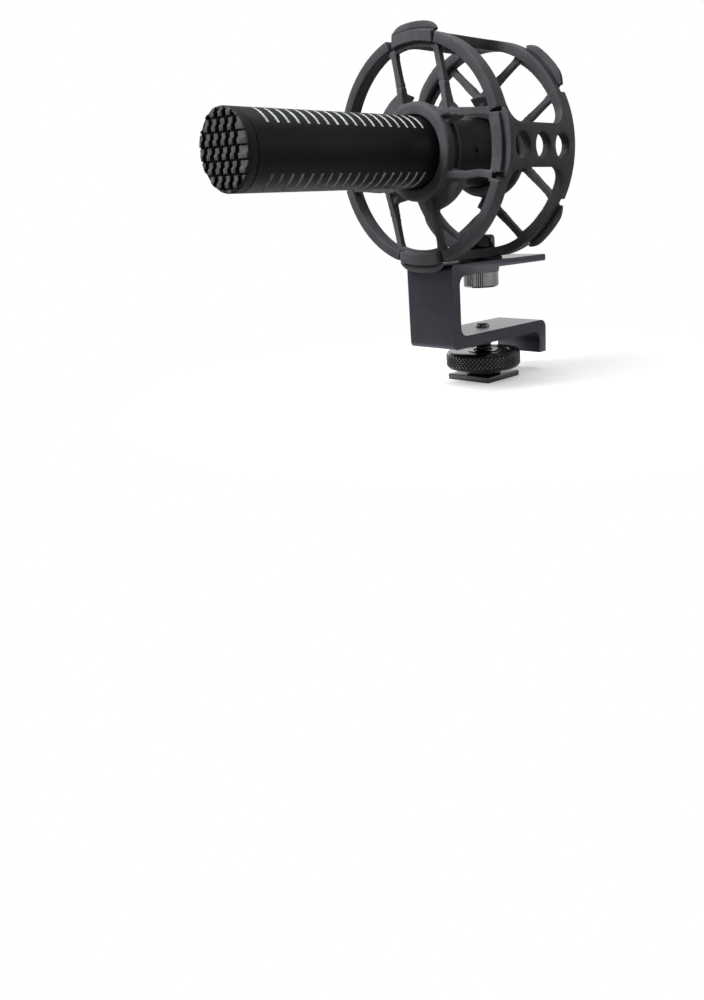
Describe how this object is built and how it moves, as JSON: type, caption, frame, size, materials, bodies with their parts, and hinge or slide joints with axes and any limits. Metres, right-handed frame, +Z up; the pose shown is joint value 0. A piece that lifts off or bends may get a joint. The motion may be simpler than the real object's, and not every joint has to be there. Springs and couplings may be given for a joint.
{
  "type": "directional camera microphone on a shock mount",
  "caption": "Short slotted directional microphone held by rubber spiders in a two-ring cage, on a C-shaped bracket with a knurled lock ring and hot-shoe foot.",
  "frame": {"origin": "centre of the underside of the hot-shoe foot, on the axis of the stud and the bolt", "axes": "+Z up along the stud, -Y along the microphone towards its front, +X to the right seen from behind"},
  "size_m": [0.073, 0.1274, 0.1122],
  "materials": {
    "black_metal": "black oxide, satin",
    "plated_steel": "plated, bright",
    "black_aluminium": "black anodised, knurled",
    "anodised_aluminium": "dark grey anodised, satin",
    "nickel": "nickel plated, knurled",
    "cage_plastic": "moulded, fine matte",
    "spider_rubber": "moulded rubber, matte",
    "black_rubber": "matte",
    "housing_metal": "black anodised, matte",
    "grille_metal": "black anodised, bead blasted",
    "foam": "open foam and soft rubber, matte",
    "cloth": "fine woven",
    "capsule_metal": "satin",
    "black_plastic": "moulded",
    "board": "solder mask",
    "socket_brass": "plated",
    "lead_red": "insulated wire",
    "lead_black": "insulated wire"
  },
  "bodies": {
    "base": {"shoe_foot": "black_metal", "threaded_stud": "plated_steel", "c_bracket": "anodised_aluminium"},
    "lock_ring": {"lock_ring": "black_aluminium"},
    "thumb_nut": {"thumb_nut": "nickel"},
    "cage": {"cage": "cage_plastic", "cage_bolt": "black_metal", "cage_washer": "black_rubber", "front_leg_top": "spider_rubber", "front_leg_right": "spider_rubber", "front_leg_bottom": "spider_rubber", "front_leg_left": "spider_rubber", "rear_leg_upper_left": "spider_rubber", "rear_leg_lower_left": "spider_rubber", "rear_leg_lower_right": "spider_rubber", "rear_leg_upper_right": "spider_rubber"},
    "suspension": {"front_collar": "spider_rubber", "rear_collar": "spider_rubber"},
    "microphone": {"grille_cap": "grille_metal", "housing_tube": "housing_metal", "housing_screw": "black_metal", "front_foam": "foam", "cloth_liner": "cloth", "capsule": "capsule_metal", "capsule_sleeve": "foam", "board_carrier": "black_plastic", "circuit_board": "board", "amplifier_chip": "black_plastic", "filter_capacitor": "capsule_metal", "capsule_lead_red": "lead_red", "capsule_lead_black": "lead_black", "rear_plate": "housing_metal", "jack_socket": "socket_brass"}
  },
  "joints": [
    {"name": "lock_ring_travel", "type": "slide", "parent": "base", "child": "lock_ring", "axis": [0, 0, 1], "range_m": [0, 0.004]},
    {"name": "thumb_nut_turn", "type": "hinge", "parent": "base", "child": "thumb_nut", "pos_m": [0, 0, 0.0348], "axis": [0, 0, 1], "continuous": true},
    {"name": "cage_swivel", "type": "hinge", "parent": "base", "child": "cage", "pos_m": [0, 0, 0.0422], "axis": [0, 0, 1], "range_deg": [-5, 5]},
    {"name": "suspension_bounce", "type": "slide", "parent": "cage", "child": "suspension", "axis": [0, 0, 1], "range_m": [-0.0025, 0.0025], "stiffness_N_per_m": 450, "springref_m": 0.0011, "deforming": ["front_leg_top", "front_leg_right", "front_leg_bottom", "front_leg_left", "rear_leg_upper_left", "rear_leg_lower_left", "rear_leg_lower_right", "rear_leg_upper_right"]},
    {"name": "microphone_slide", "type": "slide", "parent": "suspension", "child": "microphone", "axis": [0, 1, 0], "range_m": [-0.002, 0.06]}
  ]
}
